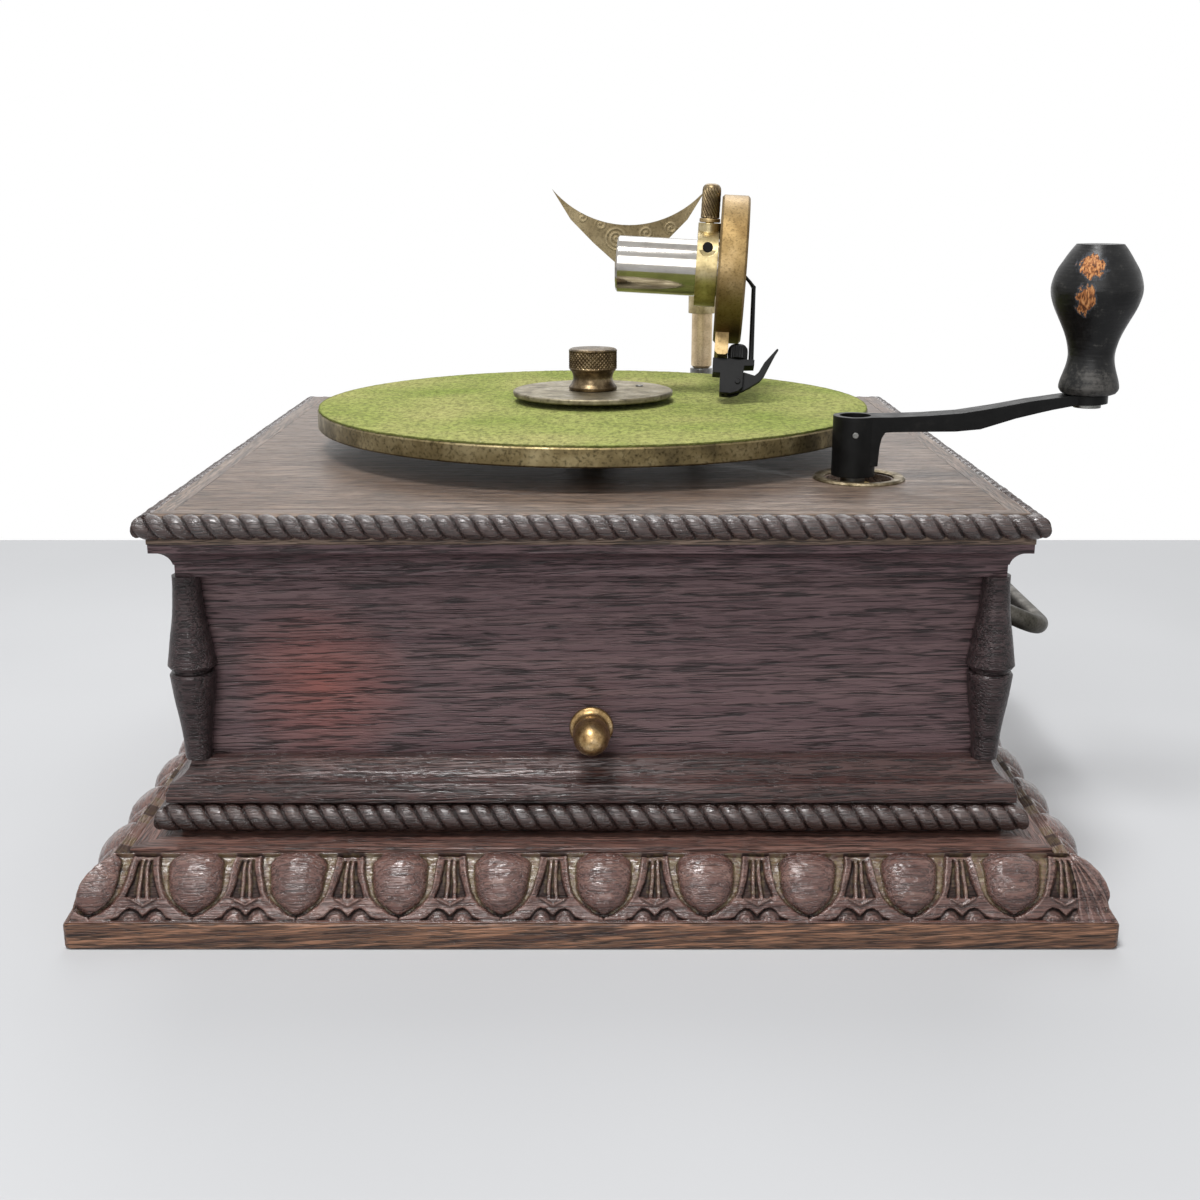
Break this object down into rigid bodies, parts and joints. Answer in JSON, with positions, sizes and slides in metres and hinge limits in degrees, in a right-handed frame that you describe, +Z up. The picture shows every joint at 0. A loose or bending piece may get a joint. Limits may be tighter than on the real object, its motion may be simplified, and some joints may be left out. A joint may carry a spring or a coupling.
{
  "type": "gramophone",
  "caption": "Table gramophone with a square carved oak case, felted turntable, top crank, side handles, and a swinging arm with sound box and horn cradle.",
  "frame": {"origin": "centre of the case's underside, on the surface it stands on", "axes": "+X to the right, +Y to the back, +Z up; the brake knob is at the front"},
  "size_m": [0.4162, 0.393, 0.2763],
  "materials": {
    "carved_oak": "waxed, dark stain",
    "top_oak": "worn varnish",
    "pine": "bare",
    "brass": "lacquered, aged",
    "dark_brass": "tarnished",
    "nickel": "polished nickel plate",
    "black_iron": "black japan",
    "handle_iron": "worn plate",
    "steel": "oiled",
    "motor_brass": "machined",
    "felt": "worn green felt",
    "knob_wood": "black paint, chipped",
    "mica": "clear mica",
    "gasket_rubber": "red rubber",
    "leather": "dressed"
  },
  "bodies": {
    "case": {"base_moulding": "carved_oak", "bottom_board": "pine", "lower_moulding": "carved_oak", "front_panel": "carved_oak", "rear_panel": "carved_oak", "left_panel": "carved_oak", "right_panel": "carved_oak", "corner_spindles": "carved_oak", "upper_moulding": "carved_oak", "top_board": "top_oak", "case_screws": "brass", "crank_escutcheon": "brass", "handle_posts": "handle_iron", "support_bracket": "dark_brass", "pivot_post": "steel", "motor_top_plate": "motor_brass", "motor_bottom_plate": "motor_brass", "motor_pillars": "steel", "winding_click": "steel"},
    "brake": {"brake_knob": "brass", "brake_rod": "steel", "brake_pad": "leather"},
    "left_bail": {"left_handle": "handle_iron"},
    "right_bail": {"right_handle": "handle_iron"},
    "turntable": {"platter": "dark_brass", "turntable_felt": "felt", "centre_plate": "dark_brass", "plate_pin": "steel", "spindle": "steel", "spindle_wheel": "motor_brass"},
    "clamp_nut": {"turntable_nut": "dark_brass"},
    "crank": {"crank_arm": "black_iron", "crank_pins": "steel", "winding_shaft": "steel"},
    "knob": {"crank_knob": "knob_wood"},
    "winder": {"barrel_arbor": "steel", "winding_wheel": "motor_brass"},
    "barrel": {"spring_barrel": "motor_brass", "great_wheel": "motor_brass", "mainspring": "steel"},
    "middle": {"middle_arbor": "steel", "middle_wheel": "motor_brass"},
    "governor": {"governor_shaft": "steel", "governor_disc": "motor_brass", "governor_weights": "motor_brass"},
    "arm": {"arm_sleeve": "brass", "travelling_arm": "brass", "clamp_ring": "brass", "ring_screw": "steel", "horn_cradle": "brass"},
    "tube_clamp": {"clamp_screw": "dark_brass"},
    "sound_box": {"sound_box_case": "brass", "horn_tube": "nickel", "diaphragm": "mica", "diaphragm_gaskets": "gasket_rubber", "pivot_block": "brass", "pivot_knurl": "black_iron"},
    "stylus": {"stylus_bar": "black_iron", "needle_holder": "black_iron"},
    "needle_lever": {"holder_lever": "black_iron"}
  },
  "joints": [
    {"name": "brake_slide", "type": "slide", "parent": "case", "child": "brake", "axis": [0, -1, 0], "range_m": [0, 0.006]},
    {"name": "left_handle_hinge", "type": "hinge", "parent": "case", "child": "left_bail", "pos_m": [-0.156, 0, 0.104], "axis": [0, 1, 0], "range_deg": [0, 130]},
    {"name": "right_handle_hinge", "type": "hinge", "parent": "case", "child": "right_bail", "pos_m": [0.156, 0, 0.104], "axis": [0, -1, 0], "range_deg": [-55, 83]},
    {"name": "turntable_spin", "type": "hinge", "parent": "case", "child": "turntable", "pos_m": [0, 0, 0.17], "axis": [0, 0, 1], "continuous": true},
    {"name": "nut_lift", "type": "slide", "parent": "turntable", "child": "clamp_nut", "axis": [0, 0, 1], "range_m": [0, 0.02]},
    {"name": "crank_turn", "type": "hinge", "parent": "case", "child": "crank", "pos_m": [0.10725, -0.09199, 0.17], "axis": [0, 0, 1], "range_deg": [-210, 90]},
    {"name": "knob_spin", "type": "hinge", "parent": "crank", "child": "knob", "pos_m": [0.20125, -0.09199, 0.22], "axis": [0, 0, 1], "continuous": true},
    {"name": "winder_turn", "type": "hinge", "parent": "case", "child": "winder", "pos_m": [0.07081, -0.06077, 0.117], "axis": [0, 0, 1], "range_deg": [-31, 71]},
    {"name": "barrel_turn", "type": "hinge", "parent": "case", "child": "barrel", "pos_m": [0.07081, -0.06077, 0.09], "axis": [0, 0, 1], "continuous": true},
    {"name": "middle_turn", "type": "hinge", "parent": "case", "child": "middle", "pos_m": [0.03542, -0.01482, 0.07], "axis": [0, 0, 1], "continuous": true},
    {"name": "governor_turn", "type": "hinge", "parent": "case", "child": "governor", "pos_m": [0, -0.033, 0.09], "axis": [0, 0, 1], "continuous": true},
    {"name": "arm_swing", "type": "hinge", "parent": "case", "child": "arm", "pos_m": [0.063, 0.185, 0.2], "axis": [0, 0, 1], "range_deg": [-5, 45]},
    {"name": "clamp_screw_turn", "type": "hinge", "parent": "arm", "child": "tube_clamp", "pos_m": [0.0534, 0.01889, 0.23759], "axis": [0.0504, -0.0039, 0.9987], "range_deg": [0, 360]},
    {"name": "sound_box_turn", "type": "hinge", "parent": "arm", "child": "sound_box", "pos_m": [0.065, 0.018, 0.237], "axis": [-0.9958, 0.0766, 0.0506], "range_deg": [-3, 100]},
    {"name": "stylus_rock", "type": "hinge", "parent": "sound_box", "child": "stylus", "pos_m": [0.06683, -0.00345, 0.19682], "axis": [0.0441, 0.8822, -0.4689], "range_deg": [-0.3, 0.3], "stiffness_Nm_per_rad": 0.6},
    {"name": "lever_squeeze", "type": "hinge", "parent": "stylus", "child": "needle_lever", "pos_m": [0.06654, -0.00863, 0.18704], "axis": [0.0441, 0.8822, -0.4689], "range_deg": [-15, 0], "stiffness_Nm_per_rad": 0.02, "springref_deg": 5.73}
  ],
  "couplings": [
    {"joint": "winder_turn", "follows": "crank_turn", "ratio": -0.33333},
    {"joint": "middle_turn", "follows": "turntable_spin", "ratio": -0.2},
    {"joint": "barrel_turn", "follows": "turntable_spin", "ratio": 0.032},
    {"joint": "governor_turn", "follows": "turntable_spin", "ratio": -10}
  ]
}
